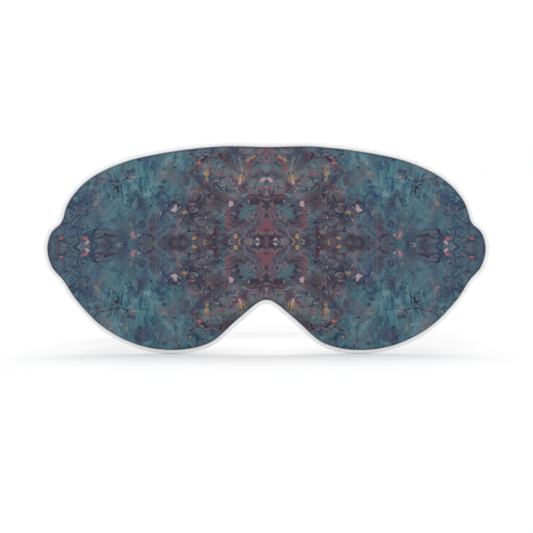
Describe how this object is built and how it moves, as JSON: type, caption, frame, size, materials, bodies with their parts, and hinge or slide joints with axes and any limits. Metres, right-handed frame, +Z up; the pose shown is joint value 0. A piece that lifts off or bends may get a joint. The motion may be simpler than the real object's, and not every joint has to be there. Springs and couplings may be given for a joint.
{
  "type": "sleep mask",
  "caption": "Contoured padded sleep mask with a marbled satin face, white piped edge, nose notch and an adjustable elastic head strap.",
  "frame": {"origin": "bottom centre of the box around the whole part, under the mask and its strap, which stand on the cheek edges of the piping", "axes": "+X along the mask from tab to tab, +Y from the printed face towards the back of the head, +Z up towards the brow"},
  "size_m": [0.2154, 0.1191, 0.1022],
  "materials": {
    "printed_satin": "satin weave with a marbled print in teal, slate blue, mauve, coral and ochre",
    "white_satin": "plain white satin lining",
    "piping_satin": "white satin bias strip",
    "wadding": "loose white polyester wadding",
    "blackout_cloth": "matt black blackout cloth",
    "piping_cord": "twisted cotton cord",
    "elastic": "woven elastic with raised cross ribs",
    "thread": "spun polyester sewing thread",
    "moulded_plastic": "white moulded plastic",
    "label_tape": "blank woven label tape"
  },
  "bodies": {
    "mask": {"front_panel": "printed_satin", "wadding": "wadding", "blackout_liner": "blackout_cloth", "back_panel": "white_satin", "piping_cover": "piping_satin", "piping_cord": "piping_cord", "seam_thread": "thread", "strap_sewn_end": "elastic", "strap_tack": "thread", "ring_loop_sewn_end": "elastic", "ring_loop_tack": "thread", "care_label": "label_tape", "label_stitches": "thread"},
    "head_strap": {"strap_flex_end": "elastic", "strap": "elastic", "ring_loop_flex_end": "elastic", "ring_loop": "elastic", "ring_loop_stitches": "thread", "ring": "moulded_plastic"},
    "strap_slider": {"strap_return": "elastic", "slider": "moulded_plastic", "slider_wrap": "elastic", "slider_stitches": "thread"}
  },
  "joints": [
    {"name": "strap_swing", "type": "hinge", "parent": "mask", "child": "head_strap", "pos_m": [0, -0.0489, 0.04934], "axis": [1, 0, 0], "range_deg": [-60, 75], "stiffness_Nm_per_rad": 0.02, "springref_deg": 5.73, "deforming": ["strap_flex_end", "ring_loop_flex_end"]},
    {"name": "slider_travel", "type": "hinge", "parent": "head_strap", "child": "strap_slider", "pos_m": [0, -0.03207, 0.04698], "axis": [0, -0.1392, -0.9903], "range_deg": [-18, 48], "deforming": ["strap_return"]}
  ]
}
